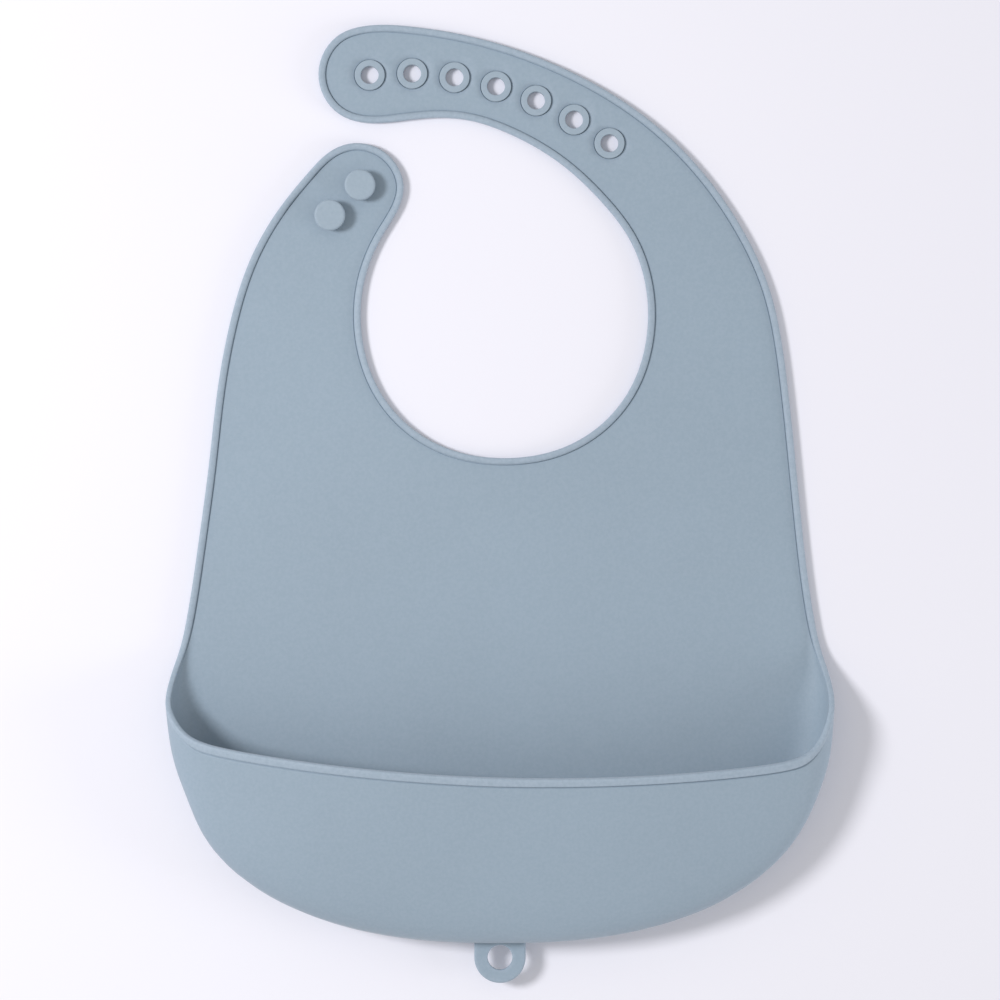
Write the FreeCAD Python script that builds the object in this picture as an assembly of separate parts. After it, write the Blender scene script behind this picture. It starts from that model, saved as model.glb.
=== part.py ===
import FreeCAD, Part
import math
import os

from FreeCAD import Vector

# A silicone feeding bib with a catch-all pocket, lying on its back with the pocket up.
# X is to the right, Y runs towards the neck, Z comes up off the table.
# The origin is under the middle of the bib, on the table.

# Overall size
BIB_WIDTH = 216.0
BIB_LENGTH = 310.0
POCKET_HEIGHT = 35.0

# Sheet, edge bead and pocket wall
PANEL = 1.8
BEAD_WIDTH = 2.2
BEAD_HEIGHT = 3.0
POCKET_WALL = 1.8

# Plan shape, drawn for a bib of the drawn width and length
DRAWN_WIDTH = 216.0
DRAWN_LENGTH = 310.0
LEFT_SIDE = [(-108, -64), (-104.4, -49), (-101, -34), (-97.7, -12), (-94.5, 12), (-91.6, 37)]
STUD_SHOULDER = [(-87.7, 58), (-80.6, 80), (-71, 96.4), (-61.6, 107.9)]
STUD_END_CENTRE, STUD_END_RADIUS = (-46.4, 101.6), 15.2
STUD_INNER_EDGE = [(-32.8, 96), (-37.6, 87.7), (-41.9, 79), (-44.4, 70.2)]
NECK_CENTRE, NECK_RADIUS = (1.4, 61.2), 46.6
NECK_POWER = 2.13
STRAP_INNER_EDGE = [(33.2, 97.5), (19.6, 110.2), (4, 119.4), (-13, 124.7), (-30, 124.3)]
STRAP_END_CENTRE, STRAP_END_RADIUS = (-43.3, 139.1), 15.6
STRAP_TOP_EDGE = [(-29, 154.6), (-10.5, 151.6), (7.7, 146.3)]
SHOULDER_CENTRE, SHOULDER_RADIUS = (-27.5, 29), 121.8
SHOULDER_FOOT = [(91.4, 52)]
RIGHT_SIDE = [(93.4, 37), (96, 12), (98.4, -12), (101.3, -34), (104.6, -49), (108, -64)]

# Eyelets and studs
EYELET_COUNT = 7
EYELET_PITCH = 13.8
EYELET_LINE_CENTRE, EYELET_LINE_RADIUS = (-31.5, 29), 110.4
EYELET_LINE_START = 95.6
STRAP_LINE_START = 125.0
STRAP_LINE_END = 15.0
EYELET_HOLE = 5.8
EYELET_COLLAR = 9.8
EYELET_RISE = 0.9
STUD_PLACE = (-45.3, 102.9)
STUD_LINE_ANGLE = 225.0
STUD_HEAD = 10.0
STUD_HEAD_HEIGHT = 2.2
STUD_STEM = 5.2
STUD_STEM_HEIGHT = 2.8
STUD_EDGE = 0.7

# Pocket
CORNER_Y = -64.0
SIDE_TOP_Y = -40.0
PARTING_Z = 12.0
SILHOUETTE_POWER = 2.4
TROUGH_REACH = 14.0
SIDE_REACH_TOP = 4.0
SIDE_HEIGHT_TOP = 3.2
RIM_Y = -87.0
RIM_SKEW = -0.028
RIM_BOW = 9.0
RIM_CORNER_RISE = 13.0
RIM_CORNER_POWER = 24
RIM_ARCH_POWER = 0.4
RIM_SPREAD = 1.3
LIP_WIDTH = 2.6
LIP_PROUD = 0.35
LIP_LARGEST_SHARE = 0.3
FRONT_END_ANGLE = 6.0
TROUGH_SPLIT_ANGLE = 50.0

# Hang tab
TAB_WIDTH = 16.6
TAB_HOLE = 8.0
TAB_THICK = 2.0
TAB_REACH = 13.5
TAB_Z = 7.0

# Bending lines: the gap is left open so that neighbouring bodies never touch
FOLD_Y = -10.0
FOLD_ANGLE = 90.0
STUD_FLEX_ANGLE = 75.0
STRAP_FLEX_ANGLE = 45.0
STRAP_FLEX_PLACES = (1.5, 3.5, 6.5)
BEYOND_TIP = -2.5
TAB_FLEX_ANGLE = 45.0
CLEARANCE = 0.6
STUD_FLEX_PLACE = (-66.0, 71.5)
STUD_FLEX_HEADING = 62.0
TALL = 60.0

WIDE = BIB_WIDTH / DRAWN_WIDTH
LONG = BIB_LENGTH / DRAWN_LENGTH
POCKET_BOTTOM = TAB_REACH - BIB_LENGTH / 2


def on_plan(x, y):
    return Vector(x * WIDE, y * LONG, 0)


def arc_points(centre, radius, start, end, count, power=2.0):
    """Points on an arc, or with a power over 2 on a curve a little squarer than one."""
    points = []
    for i in range(count):
        angle = math.radians(start + (end - start) * i / (count - 1))
        c, s = math.cos(angle), math.sin(angle)
        across = math.copysign(abs(c) ** (2 / power), c)
        up = math.copysign(abs(s) ** (2 / power), s)
        points.append((centre[0] + radius * across, centre[1] + radius * up))
    return points


def flex_gap(angle, half_height):
    """Half the gap that lets two plates turn by angle about an axis at mid-height."""
    return half_height * math.tan(math.radians(angle / 2)) + CLEARANCE / 2


# ---------------------------------------------------------------- plan outline


def outline_curve():
    """Outer edge of the bead, from the left pocket corner over the straps to the right."""
    points = (
        LEFT_SIDE
        + STUD_SHOULDER
        + arc_points(STUD_END_CENTRE, STUD_END_RADIUS, 125, 5, 6)
        + STUD_INNER_EDGE
        + arc_points(NECK_CENTRE, NECK_RADIUS, 190, 390, 11, NECK_POWER)
        + STRAP_INNER_EDGE
        + arc_points(STRAP_END_CENTRE, STRAP_END_RADIUS, 265, 95, 7)
        + STRAP_TOP_EDGE
        + arc_points(SHOULDER_CENTRE, SHOULDER_RADIUS, 64, 19, 5)
        + SHOULDER_FOOT
        + RIGHT_SIDE
    )
    curve = Part.BSplineCurve()
    curve.interpolate(
        Points=[on_plan(x, y) for x, y in points],
        InitialTangent=Vector(0, 1, 0),
        FinalTangent=Vector(0, -1, 0),
    )
    return curve


def inset(curve, distance):
    """The same edge moved into the sheet; the sheet lies to the right of the curve."""
    first, last = curve.FirstParameter, curve.LastParameter
    count = 3 * curve.NbKnots
    points = []
    for i in range(count + 1):
        at = first + (last - first) * i / count
        tangent = curve.tangent(at)[0]
        points.append(curve.value(at) + Vector(tangent.y, -tangent.x, 0) * distance)
    moved = Part.BSplineCurve()
    moved.interpolate(Points=points)
    return moved


def plate(curve, height):
    """The region inside an edge curve, closed across the pocket corners."""
    closing = Part.makeLine(curve.EndPoint, curve.StartPoint)
    face = Part.Face(Part.Wire([curve.toShape(), closing]))
    return face.extrude(Vector(0, 0, height))


def prism(points, low=-1.0, high=TALL):
    corners = [Vector(p.x, p.y, low) for p in points]
    wire = Part.makePolygon(corners + corners[:1])
    return Part.Face(wire).extrude(Vector(0, 0, high - low))


def band(low_y, high_y):
    """A zone right across the bib between two heights on the plan."""
    half = BIB_WIDTH
    return prism(
        [
            Vector(-half, low_y, 0),
            Vector(half, low_y, 0),
            Vector(half, high_y, 0),
            Vector(-half, high_y, 0),
        ]
    )


# ------------------------------------------------------------- straps and zones


def eyelet_line():
    arc = arc_points(EYELET_LINE_CENTRE, EYELET_LINE_RADIUS, STRAP_LINE_START, STRAP_LINE_END, 12)
    curve = Part.BSplineCurve()
    curve.interpolate(Points=[on_plan(x, y) for x, y in arc])
    return curve


EYELET_LINE = eyelet_line()
FIRST_EYELET = EYELET_LINE.parameter(
    on_plan(*arc_points(EYELET_LINE_CENTRE, EYELET_LINE_RADIUS, EYELET_LINE_START, 0, 2)[0])
)


def along_strap(pitches):
    """The point and heading on the eyelet line, in pitches from the first eyelet to the root."""
    at = FIRST_EYELET
    if pitches:
        at = EYELET_LINE.parameterAtDistance(pitches * EYELET_PITCH, FIRST_EYELET)
    return EYELET_LINE.value(at), EYELET_LINE.tangent(at)[0]


def strap_area(*cuts):
    """The strap between lines across it, each given in pitches and moved along by a shift."""
    left, right = [], []
    for pitches, shift in cuts:
        point, heading = along_strap(pitches)
        across = Vector(-heading.y, heading.x, 0) * (2 * STRAP_END_RADIUS)
        left.append(point + heading * shift + across)
        right.append(point + heading * shift - across)
    return prism(left + right[::-1])


def stud_zone(shift):
    """The stud strap beyond its bending line."""
    heading = Vector(
        math.cos(math.radians(STUD_FLEX_HEADING)), math.sin(math.radians(STUD_FLEX_HEADING)), 0
    )
    across = Vector(-heading.y, heading.x, 0) * (2 * STUD_END_RADIUS)
    near = on_plan(*STUD_FLEX_PLACE) + heading * shift
    far = near + heading * (5 * STUD_END_RADIUS)
    return prism([near + across, far + across, far - across, near - across])


def stud_head(place):
    """A flat mushroom head with rounded edges on a short stem."""
    top = PANEL + STUD_STEM_HEIGHT + STUD_HEAD_HEIGHT
    stem = Part.makeCylinder(
        STUD_STEM / 2, STUD_STEM_HEIGHT + STUD_HEAD_HEIGHT / 2, place + Vector(0, 0, PANEL)
    )
    head = Part.makeCylinder(
        STUD_HEAD / 2, STUD_HEAD_HEIGHT, place + Vector(0, 0, top - STUD_HEAD_HEIGHT)
    )
    rims = [e for e in head.Edges if isinstance(e.Curve, Part.Circle)]
    return head.makeFillet(min(STUD_EDGE, STUD_HEAD_HEIGHT / 3), rims).fuse(stem).removeSplitter()


def eyelet(place):
    """A collar through the strap, standing a little proud of it."""
    height = PANEL + EYELET_RISE
    collar = Part.makeCylinder(EYELET_COLLAR / 2, height, place)
    return collar.cut(Part.makeCylinder(EYELET_HOLE / 2, height, place))


# ---------------------------------------------------------------------- pocket


def silhouette(angle):
    """The pocket's widest line, from the right corner at 0 over the bottom to the left at 180."""
    c, s = math.cos(math.radians(angle)), math.sin(math.radians(angle))
    power = 2 / SILHOUETTE_POWER
    corner = on_plan(0, CORNER_Y).y
    x = BIB_WIDTH / 2 * math.copysign(abs(c) ** power, c)
    return Vector(x, corner - (corner - POCKET_BOTTOM) * abs(s) ** power, 0)


def outward(angle):
    """The plan direction square to the silhouette."""
    p = silhouette(angle)
    corner = on_plan(0, CORNER_Y).y
    half, deep = BIB_WIDTH / 2, corner - POCKET_BOTTOM
    n = SILHOUETTE_POWER - 1
    gx = math.copysign((abs(p.x) / half) ** n / half, p.x)
    gy = -(((corner - p.y) / deep) ** n) / deep
    return Vector(gx, gy, 0).normalize()


def quarter(edge, out, reach, height, turn):
    """A point on the rounded turn from the flat sheet at 0 up to the vertical wall at 90."""
    s, c = math.sin(math.radians(turn)), math.cos(math.radians(turn))
    return edge - out * (reach * (1 - s)) + Vector(0, 0, height * (1 - c))


def quarter_inside(edge, out, reach, height, turn):
    """The point on the inner face of the wall across from quarter()."""
    s, c = math.sin(math.radians(turn)), math.cos(math.radians(turn))
    normal = out * (height * s) + Vector(0, 0, -reach * c)
    return quarter(edge, out, reach, height, turn) - normal.normalize() * POCKET_WALL


def trough_section(angle, top):
    return silhouette(angle), outward(angle), TROUGH_REACH, top


def side_section(curve, sign, share):
    """A section through a pocket side, from the end of the bead at 0 to the corner at 1."""
    top, corner = on_plan(0, SIDE_TOP_Y).y, on_plan(0, CORNER_Y).y
    y = top + (corner - top) * share
    hit = edge_at(curve, sign, y)
    reach = SIDE_REACH_TOP + (TROUGH_REACH - SIDE_REACH_TOP) * share
    height = SIDE_HEIGHT_TOP + (PARTING_Z - SIDE_HEIGHT_TOP) * share**1.3
    return Vector(hit, y, 0), Vector(sign, 0, 0), reach, height


def edge_at(curve, sign, y):
    """Where the outline crosses a height on the plan, on one side of the pocket."""
    first, last = curve.FirstParameter, curve.LastParameter
    span = (last - first) * 0.12
    low, high = (first, first + span) if sign < 0 else (last, last - span)
    for _ in range(40):
        middle = (low + high) / 2
        if curve.value(middle).y < y:
            low = middle
        else:
            high = middle
    return curve.value(low).x


def rim(angle):
    """The pocket's open edge, matched to the silhouette by angle."""
    c = math.cos(math.radians(angle))
    q = abs(c) ** RIM_SPREAD
    corner = on_plan(0, CORNER_Y).y
    middle = on_plan(0, RIM_Y).y
    rise = (corner - middle) * (
        RIM_BOW * q**2 + RIM_CORNER_RISE * q**RIM_CORNER_POWER
    ) / (RIM_BOW + RIM_CORNER_RISE)
    x = BIB_WIDTH / 2 * math.copysign(q, c)
    skew = RIM_SKEW * x * (1 - q**RIM_CORNER_POWER)
    z = PARTING_Z + (POCKET_HEIGHT - PARTING_Z) * (1 - q**2) ** RIM_ARCH_POWER
    return Vector(x, middle + rise + skew, z)


def front_point(angle, share):
    """The front wall: straight up from the silhouette, then over to the rim at 1."""
    start = silhouette(angle) + Vector(0, 0, PARTING_Z)
    end = rim(angle)
    over = Vector(end.x - start.x, end.y - start.y, 0)
    up = Vector(0, 0, end.z - start.z)
    p1 = start + up * 0.42
    p2 = start + over * 0.18 + up * 0.5
    a, b = 1 - share, share
    return start * a**3 + p1 * (3 * a * a * b) + p2 * (3 * a * b * b) + end * b**3


def front_normal(angle, share):
    step = 0.01
    along = front_point(angle + step, share) - front_point(angle - step, share)
    low, high = max(share - step, 0), min(share + step, 1)
    up = front_point(angle, high) - front_point(angle, low)
    return up.cross(along).normalize()


def lip_start(angle):
    steps = 12
    points = [front_point(angle, i / steps) for i in range(steps + 1)]
    length = sum((q - p).Length for p, q in zip(points, points[1:]))
    return 1 - min(LIP_WIDTH / length, LIP_LARGEST_SHARE)


def walled(outer, inner):
    """A closed solid between two grids of points that face each other."""
    skins = []
    for grid in (outer, inner):
        skin = Part.BSplineSurface()
        skin.interpolate(grid)
        skins.append(skin)
    faces = [skin.toShape() for skin in skins]
    first, second = skins
    u0, u1, v0, v1 = first.bounds()
    a0, a1, b0, b1 = second.bounds()
    pairs = [
        (first.uIso(u0), second.uIso(a0)),
        (first.uIso(u1), second.uIso(a1)),
        (first.vIso(v0), second.vIso(b0)),
        (first.vIso(v1), second.vIso(b1)),
    ]
    faces += [Part.makeRuledSurface(p.toShape(), q.toShape()) for p, q in pairs]
    shell = Part.makeShell(faces)
    shell.sewShape()
    solid = Part.makeSolid(shell)
    if solid.Volume < 0:
        solid.reverse()
    return solid


def turned_wall(sections, steps=7):
    turns = [90 * i / (steps - 1) for i in range(steps)]
    outer = [[quarter(*s, t) for t in turns] for s in sections]
    inner = [[quarter_inside(*s, t) for t in turns] for s in sections]
    return walled(outer, inner)


def pocket_trough(start, end):
    count = max(4, round((end - start) / 8))
    angles = [start + (end - start) * i / (count - 1) for i in range(count)]
    top = PARTING_Z - CLEARANCE / 2
    return turned_wall([trough_section(a, top) for a in angles])


def pocket_side(curve, sign):
    return turned_wall([side_section(curve, sign, i / 4) for i in range(5)])


def front_wall(share_low, share_high, proud):
    """A strip of the front wall between two shares of its height, given for each angle."""
    count = 23
    span = 180 - 2 * FRONT_END_ANGLE
    angles = [FRONT_END_ANGLE + span * i / (count - 1) for i in range(count)]
    lift = Vector(0, 0, CLEARANCE / 2)
    outer, inner = [], []
    for angle in angles:
        low, high = share_low(angle), share_high(angle)
        shares = [low + (high - low) * i / 6 for i in range(7)]
        row = [(front_point(angle, s) + lift, front_normal(angle, s)) for s in shares]
        outer.append([p + n * proud for p, n in row])
        inner.append([p - n * POCKET_WALL for p, n in row])
    return walled(outer, inner)


def pocket_back(curve):
    """The flat sheet behind the pocket, inside the turn of its sides and trough."""
    shares = [i / 4 for i in range(5)]
    right = [side_section(curve, 1, s) for s in shares]
    left = [side_section(curve, -1, s) for s in reversed(shares)]
    trough = [trough_section(180 * i / 24, PARTING_Z) for i in range(1, 24)]
    points = [edge - out * reach for edge, out, reach, height in right + trough + left]
    border = Part.BSplineCurve()
    border.interpolate(Points=points)
    return plate(border, PANEL)


def tab_root():
    """Where the tab's upper face would meet the outside of the trough."""
    c = 1 - (TAB_Z + TAB_THICK / 2) / PARTING_Z
    return POCKET_BOTTOM + TROUGH_REACH * (1 - math.sqrt(1 - c**2))


def hang_tab():
    """A flat tongue with a round end and a hanging hole, tucked in under the pocket's edge."""
    half = TAB_WIDTH / 2
    centre = Vector(0, -BIB_LENGTH / 2 + half, TAB_Z - TAB_THICK / 2)
    start = tab_root() - 2 * flex_gap(TAB_FLEX_ANGLE, TAB_THICK / 2)
    tongue = Part.makeBox(TAB_WIDTH, half, TAB_THICK, centre - Vector(half, 0, 0))
    disc = Part.makeCylinder(half, TAB_THICK, centre)
    hole = Part.makeCylinder(TAB_HOLE / 2, TAB_THICK, centre)
    return disc.fuse(tongue).removeSplitter().cut(hole).common(band(-BIB_LENGTH, start))


# --------------------------------------------------------------------- assembly


def near(shape, place, reach):
    """The solids of a shape that come within reach of a place, the nearest first."""
    point = Part.Vertex(place)
    far = reach * max(WIDE, LONG)
    apart = [(s.distToShape(point)[0], i, s) for i, s in enumerate(shape.Solids)]
    return [s for distance, i, s in sorted(apart, key=lambda a: a[:2]) if distance < far]


def left_to_right(shape):
    return sorted(shape.Solids, key=lambda s: s.CenterOfMass.x)


def export(name, shape):
    shape.exportStep("parts/" + name + ".step")


def export_straps(panel, bead, upper):
    """The two straps: panels, beads, eyelets and studs. Returns the chest that is left."""
    places = [along_strap(i)[0] for i in range(EYELET_COUNT)]
    gap = flex_gap(STRAP_FLEX_ANGLE, BEAD_HEIGHT / 2)
    tip, middle, root = STRAP_FLEX_PLACES
    zones = {
        "root": (strap_area((middle, gap), (root, -gap)), range(4, EYELET_COUNT)),
        "middle": (strap_area((tip, gap), (middle, -gap)), range(2, 4)),
        "tip": (strap_area((BEYOND_TIP, 0), (tip, -gap)), range(0, 2)),
    }
    for part, (zone, numbers) in zones.items():
        place = places[numbers[0]]
        sheet = near(panel.common(zone), place, STRAP_END_RADIUS)[0]
        for i in numbers:
            sheet = sheet.cut(Part.makeCylinder(EYELET_COLLAR / 2, TALL, places[i]))
            export("eyelet_" + str(i + 1), eyelet(places[i]))
        export("eyelet_strap_" + part + "_panel", sheet)
        edges = near(bead.common(zone), place, STRAP_END_RADIUS)
        names = ["_bead"] if len(edges) == 1 else ["_outer_bead", "_inner_bead"]
        for name, edge in zip(names, sorted(edges, key=lambda s: -s.CenterOfMass.y)):
            export("eyelet_strap_" + part + name, edge)

    stud_gap = flex_gap(STUD_FLEX_ANGLE, BEAD_HEIGHT / 2)
    zone = stud_zone(stud_gap)
    end = on_plan(*STUD_END_CENTRE)
    export("stud_strap_panel", near(panel.common(zone), end, STUD_END_RADIUS)[0])
    export("stud_strap_bead", near(bead.common(zone), end, STUD_END_RADIUS)[0])
    upper_stud = on_plan(*STUD_PLACE)
    line = Vector(
        math.cos(math.radians(STUD_LINE_ANGLE)), math.sin(math.radians(STUD_LINE_ANGLE)), 0
    )
    export("stud_upper", stud_head(upper_stud))
    export("stud_lower", stud_head(upper_stud + line * EYELET_PITCH))

    whole = strap_area((BEYOND_TIP, 0), (tip, 0), (middle, 0), (root, gap))
    return upper.cut(whole).cut(stud_zone(-stud_gap))


def main():
    os.makedirs("parts", exist_ok=True)
    edge = outline_curve()
    inner_edge = inset(edge, BEAD_WIDTH)
    panel = plate(inner_edge, PANEL)
    bead = plate(edge, BEAD_HEIGHT).cut(plate(inner_edge, BEAD_HEIGHT))

    fold = flex_gap(FOLD_ANGLE, BEAD_HEIGHT / 2)
    side_top = on_plan(0, SIDE_TOP_Y).y
    fold_y = on_plan(0, FOLD_Y).y
    upper = export_straps(panel, bead, band(fold_y + fold, BIB_LENGTH))
    lower = band(side_top, fold_y - fold)

    export("chest_upper_panel", panel.common(upper))
    left, neck, right = left_to_right(bead.common(upper))
    export("chest_upper_bead_left", left)
    export("neck_bead", neck)
    export("chest_upper_bead_right", right)

    export("chest_lower_panel", panel.common(lower))
    left, right = left_to_right(bead.common(lower))
    export("chest_lower_bead_left", left)
    export("chest_lower_bead_right", right)

    export("pocket_back", pocket_back(edge))
    export("pocket_side_left", pocket_side(edge, -1))
    export("pocket_side_right", pocket_side(edge, 1))
    export("pocket_trough_right", pocket_trough(0, TROUGH_SPLIT_ANGLE))
    export("pocket_trough_middle", pocket_trough(TROUGH_SPLIT_ANGLE, 180 - TROUGH_SPLIT_ANGLE))
    export("pocket_trough_left", pocket_trough(180 - TROUGH_SPLIT_ANGLE, 180))
    export("pocket_front", front_wall(lambda a: 0.0, lip_start, 0.0))
    export("pocket_lip", front_wall(lip_start, lambda a: 1.0, LIP_PROUD))
    export("hang_tab", hang_tab())


main()
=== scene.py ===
import math

import bmesh
import bpy
import numpy as np
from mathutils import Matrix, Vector
from mathutils.geometry import delaunay_2d_cdt


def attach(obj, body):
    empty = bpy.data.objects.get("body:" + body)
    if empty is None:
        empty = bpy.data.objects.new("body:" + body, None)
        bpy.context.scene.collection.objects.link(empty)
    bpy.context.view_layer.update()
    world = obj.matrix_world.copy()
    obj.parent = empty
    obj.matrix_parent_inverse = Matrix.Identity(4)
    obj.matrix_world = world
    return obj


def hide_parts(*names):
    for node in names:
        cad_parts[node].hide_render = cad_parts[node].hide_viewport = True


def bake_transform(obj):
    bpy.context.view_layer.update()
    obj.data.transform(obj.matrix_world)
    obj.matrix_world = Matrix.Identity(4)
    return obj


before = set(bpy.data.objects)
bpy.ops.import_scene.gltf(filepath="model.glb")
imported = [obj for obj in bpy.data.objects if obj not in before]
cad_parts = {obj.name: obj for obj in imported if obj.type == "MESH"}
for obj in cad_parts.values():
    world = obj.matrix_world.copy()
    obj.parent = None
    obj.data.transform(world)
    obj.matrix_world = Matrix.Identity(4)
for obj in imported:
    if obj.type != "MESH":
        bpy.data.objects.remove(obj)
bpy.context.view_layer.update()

# The bib lies on its back with the pocket up: X to the right, Y to the neck, Z off the table.
# Sizes of the bib are in millimetres and become metres when a mesh is finished.
MM = 0.001

# Sheet, edge bead and wall
HALF_WIDTH = 108.0
PANEL = 1.8
BEAD_WIDTH = 2.2
BEAD_HEIGHT = 3.0
BEAD_ROUND = 0.75
BEAD_GROOVE = 0.3
WALL = 1.8
FLAT_REACH = 4.0

# Plan shape
LEFT_SIDE = [(-108, -64), (-104.4, -49), (-101, -34), (-97.7, -12), (-94.5, 12), (-91.6, 37)]
STUD_SHOULDER = [(-87.7, 58), (-80.6, 80), (-71, 96.4), (-61.6, 107.9)]
STUD_END, STUD_END_RADIUS = (-46.4, 101.6), 15.2
STUD_INNER_EDGE = [(-32.8, 96), (-37.6, 87.7), (-41.9, 79), (-44.4, 70.2)]
NECK, NECK_RADIUS = (1.4, 61.2), 46.6
NECK_POWER = 2.13
STRAP_INNER_EDGE = [(33.2, 97.5), (19.6, 110.2), (4, 119.4), (-13, 124.7), (-30, 124.3)]
STRAP_END, STRAP_END_RADIUS = (-43.3, 139.1), 15.6
STRAP_TOP_EDGE = [(-29, 154.6), (-10.5, 151.6), (7.7, 146.3)]
SHOULDER, SHOULDER_RADIUS = (-27.5, 29), 121.8
SHOULDER_FOOT = [(91.4, 52)]
RIGHT_SIDE = [(93.4, 37), (96, 12), (98.4, -12), (101.3, -34), (104.6, -49), (108, -64)]

# Eyelets and studs
EYELET_PITCH = 13.8
EYELET_LINE_CENTRE, EYELET_LINE_RADIUS = (-31.5, 29), 110.4
FIRST_EYELET_ANGLE = 95.6
EYELET_HOLE = 5.8
EYELET_COLLAR = 9.8
EYELET_HEIGHT = 2.7
EYELET_SEAT = 8.6
SEAT_GROOVE = 0.4
STUD_PLACE = (-45.3, 102.9)
STUD_LINE_ANGLE = 225.0
STUD_HEAD = 10.0
STUD_HEAD_HEIGHT = 2.2
STUD_STEM = 5.2
STUD_STEM_HEIGHT = 2.8
STUD_ROUND = 0.7

# Pocket
CORNER_Y = -64.0
SIDE_TOP_Y = -40.0
POCKET_BOTTOM = -141.5
PARTING_Z = 12.0
POCKET_HEIGHT = 35.0
SILHOUETTE_POWER = 2.4
TUCK_LEFT, TUCK_RIGHT = 2.2, 1.0
TUCK_Y, TUCK_SPAN = -94.0, 14.0
TURN_POWER = 0.86
TROUGH_REACH = 14.0
SIDE_REACH_TOP = 4.0
SIDE_HEIGHT_TOP = 3.2
RIM_Y = -87.0
RIM_SKEW = -0.028
RIM_BOW = 9.0
RIM_CORNER_RISE = 13.0
RIM_CORNER_POWER = 24
RIM_ARCH_POWER = 0.4
RIM_SPREAD = 1.3
LIP_WIDTH = 2.6
LIP_PROUD = 0.35
LIP_GROOVE = 0.6
LIP_GROOVE_ROWS = [0.6, 0.42, 0.16]
EDGE_WIDTH = 0.8
EDGE_SQUARE = 0.6
LIP_STARTS, LIP_FULL = 105.0, 95.0
BEAD_FADES, BEAD_GONE = -36.0, -62.0

# Hang tab
TAB_WIDTH = 16.6
TAB_HOLE = 8.0
TAB_THICK = 2.0
TAB_CENTRE_Y = -146.7
TAB_ROOT_Y = -139.7
TAB_Z = 7.0
TAB_ROUND = 0.7
TAB_HOLE_ROUND = 0.35
TAB_ROWS = 13
TAB_FILL = 1.0
# Share of painted pale sheen round the hang tab's rim, a painted highlight for its translucent-looking
# glow.
TAB_EDGE_SHEEN = 0.4

# How finely the moulding is divided
STATION = 1.9
FILL = 2.6
LOWER_ROWS = 30
LIP_ROWS = 5
EDGE_ROWS = 5
HOLE_SIDES = 40

# Where the sheet is divided, and the span given for each bend
FOLD_SEAM_Y = -22.0
FOLD_BEND = (-14.0, 7.0)
STUD_BEND_PLACE = (-66.0, 71.5)
STUD_BEND_ANGLE = 62.0
STUD_SEAM, STUD_BEND = -6.0, (-4.0, 15.0)
ROOT_SEAM, ROOT_BEND = 6.95, (6.75, 4.65)
MIDDLE_SEAM, MIDDLE_BEND = 4.5, (4.35, 2.65)
TIP_SEAM, TIP_BEND = 2.5, (2.35, 0.65)
BEND_Z = 1.5

# Table, lights and camera, in metres apart from the sensor in millimetres
TABLE_REACH, TABLE_DROP = 9, 0.0002
STUDIO_TINT, STUDIO_STRENGTH = (1.0, 0.98, 0.965, 1), 0.55
CAMERA_HEIGHT, CAMERA_Y = 1.2, 0.001
HALF_VIEW = 0.1625
SENSOR = 36.0


def smoothstep(x):
    x = np.clip(x, 0, 1)
    return x * x * (3 - 2 * x)


def arc(centre, radius, start, end, count, power=2.0):
    a = np.radians(np.linspace(start, end, count))
    c, s = (np.sign(v) * abs(v) ** (2 / power) for v in (np.cos(a), np.sin(a)))
    return list(zip(centre[0] + radius * c, centre[1] + radius * s))


def distances(points):
    return np.r_[0, np.cumsum(np.linalg.norm(np.diff(points, axis=0), axis=1))]


def points_at(points, places):
    """The points of a line at the given distances along it."""
    points = np.asarray(points, float)
    return np.stack([np.interp(places, distances(points), c) for c in points.T], axis=1)


def spread(points, count):
    """The same line with its points evenly spaced."""
    return points_at(points, np.linspace(0, distances(points)[-1], count))


def eased_line(points, first, last, step):
    """A curve of even bend through the points, from one heading to the other."""
    p = np.array(points, float)
    gap = np.linalg.norm(np.diff(p, axis=0), axis=1)
    n = len(p)
    a, b = np.zeros((n, n)), np.zeros((n, 2))
    a[0, 0] = a[-1, -1] = 1
    b[0], b[-1] = first, last
    for i in range(1, n - 1):
        a[i, i - 1 : i + 2] = 1 / gap[i - 1], 2 / gap[i - 1] + 2 / gap[i], 1 / gap[i]
        b[i] = 3 * (p[i] - p[i - 1]) / gap[i - 1] ** 2 + 3 * (p[i + 1] - p[i]) / gap[i] ** 2
    slope = np.linalg.solve(a, b)
    runs = []
    for i in range(n - 1):
        t = np.linspace(0, 1, max(2, int(gap[i] / step)), endpoint=False)[:, None]
        h = gap[i]
        runs.append(
            p[i] * (1 + 2 * t) * (1 - t) ** 2
            + slope[i] * h * t * (1 - t) ** 2
            + p[i + 1] * t * t * (3 - 2 * t)
            + slope[i + 1] * h * t * t * (t - 1)
        )
    return np.vstack(runs + [p[-1:]])


# ------------------------------------------------------------------ plan of the bib


def outline():
    points = (
        LEFT_SIDE
        + STUD_SHOULDER
        + arc(STUD_END, STUD_END_RADIUS, 125, 5, 6)
        + STUD_INNER_EDGE
        + arc(NECK, NECK_RADIUS, 190, 390, 11, NECK_POWER)
        + STRAP_INNER_EDGE
        + arc(STRAP_END, STRAP_END_RADIUS, 265, 95, 7)
        + STRAP_TOP_EDGE
        + arc(SHOULDER, SHOULDER_RADIUS, 64, 19, 5)
        + SHOULDER_FOOT
        + RIGHT_SIDE
    )
    line = eased_line(points, (0, 1), (0, -1), 0.3)
    return spread(line, int(distances(line)[-1] / STATION))


def along_strap(pitches):
    """The point and heading on the eyelet line, counted in pitches from the first eyelet."""
    a = math.radians(FIRST_EYELET_ANGLE) - EYELET_PITCH / EYELET_LINE_RADIUS * pitches
    x = EYELET_LINE_CENTRE[0] + EYELET_LINE_RADIUS * math.cos(a)
    y = EYELET_LINE_CENTRE[1] + EYELET_LINE_RADIUS * math.sin(a)
    return Vector((x, y, BEND_Z)), Vector((math.sin(a), -math.cos(a), 0))


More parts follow.
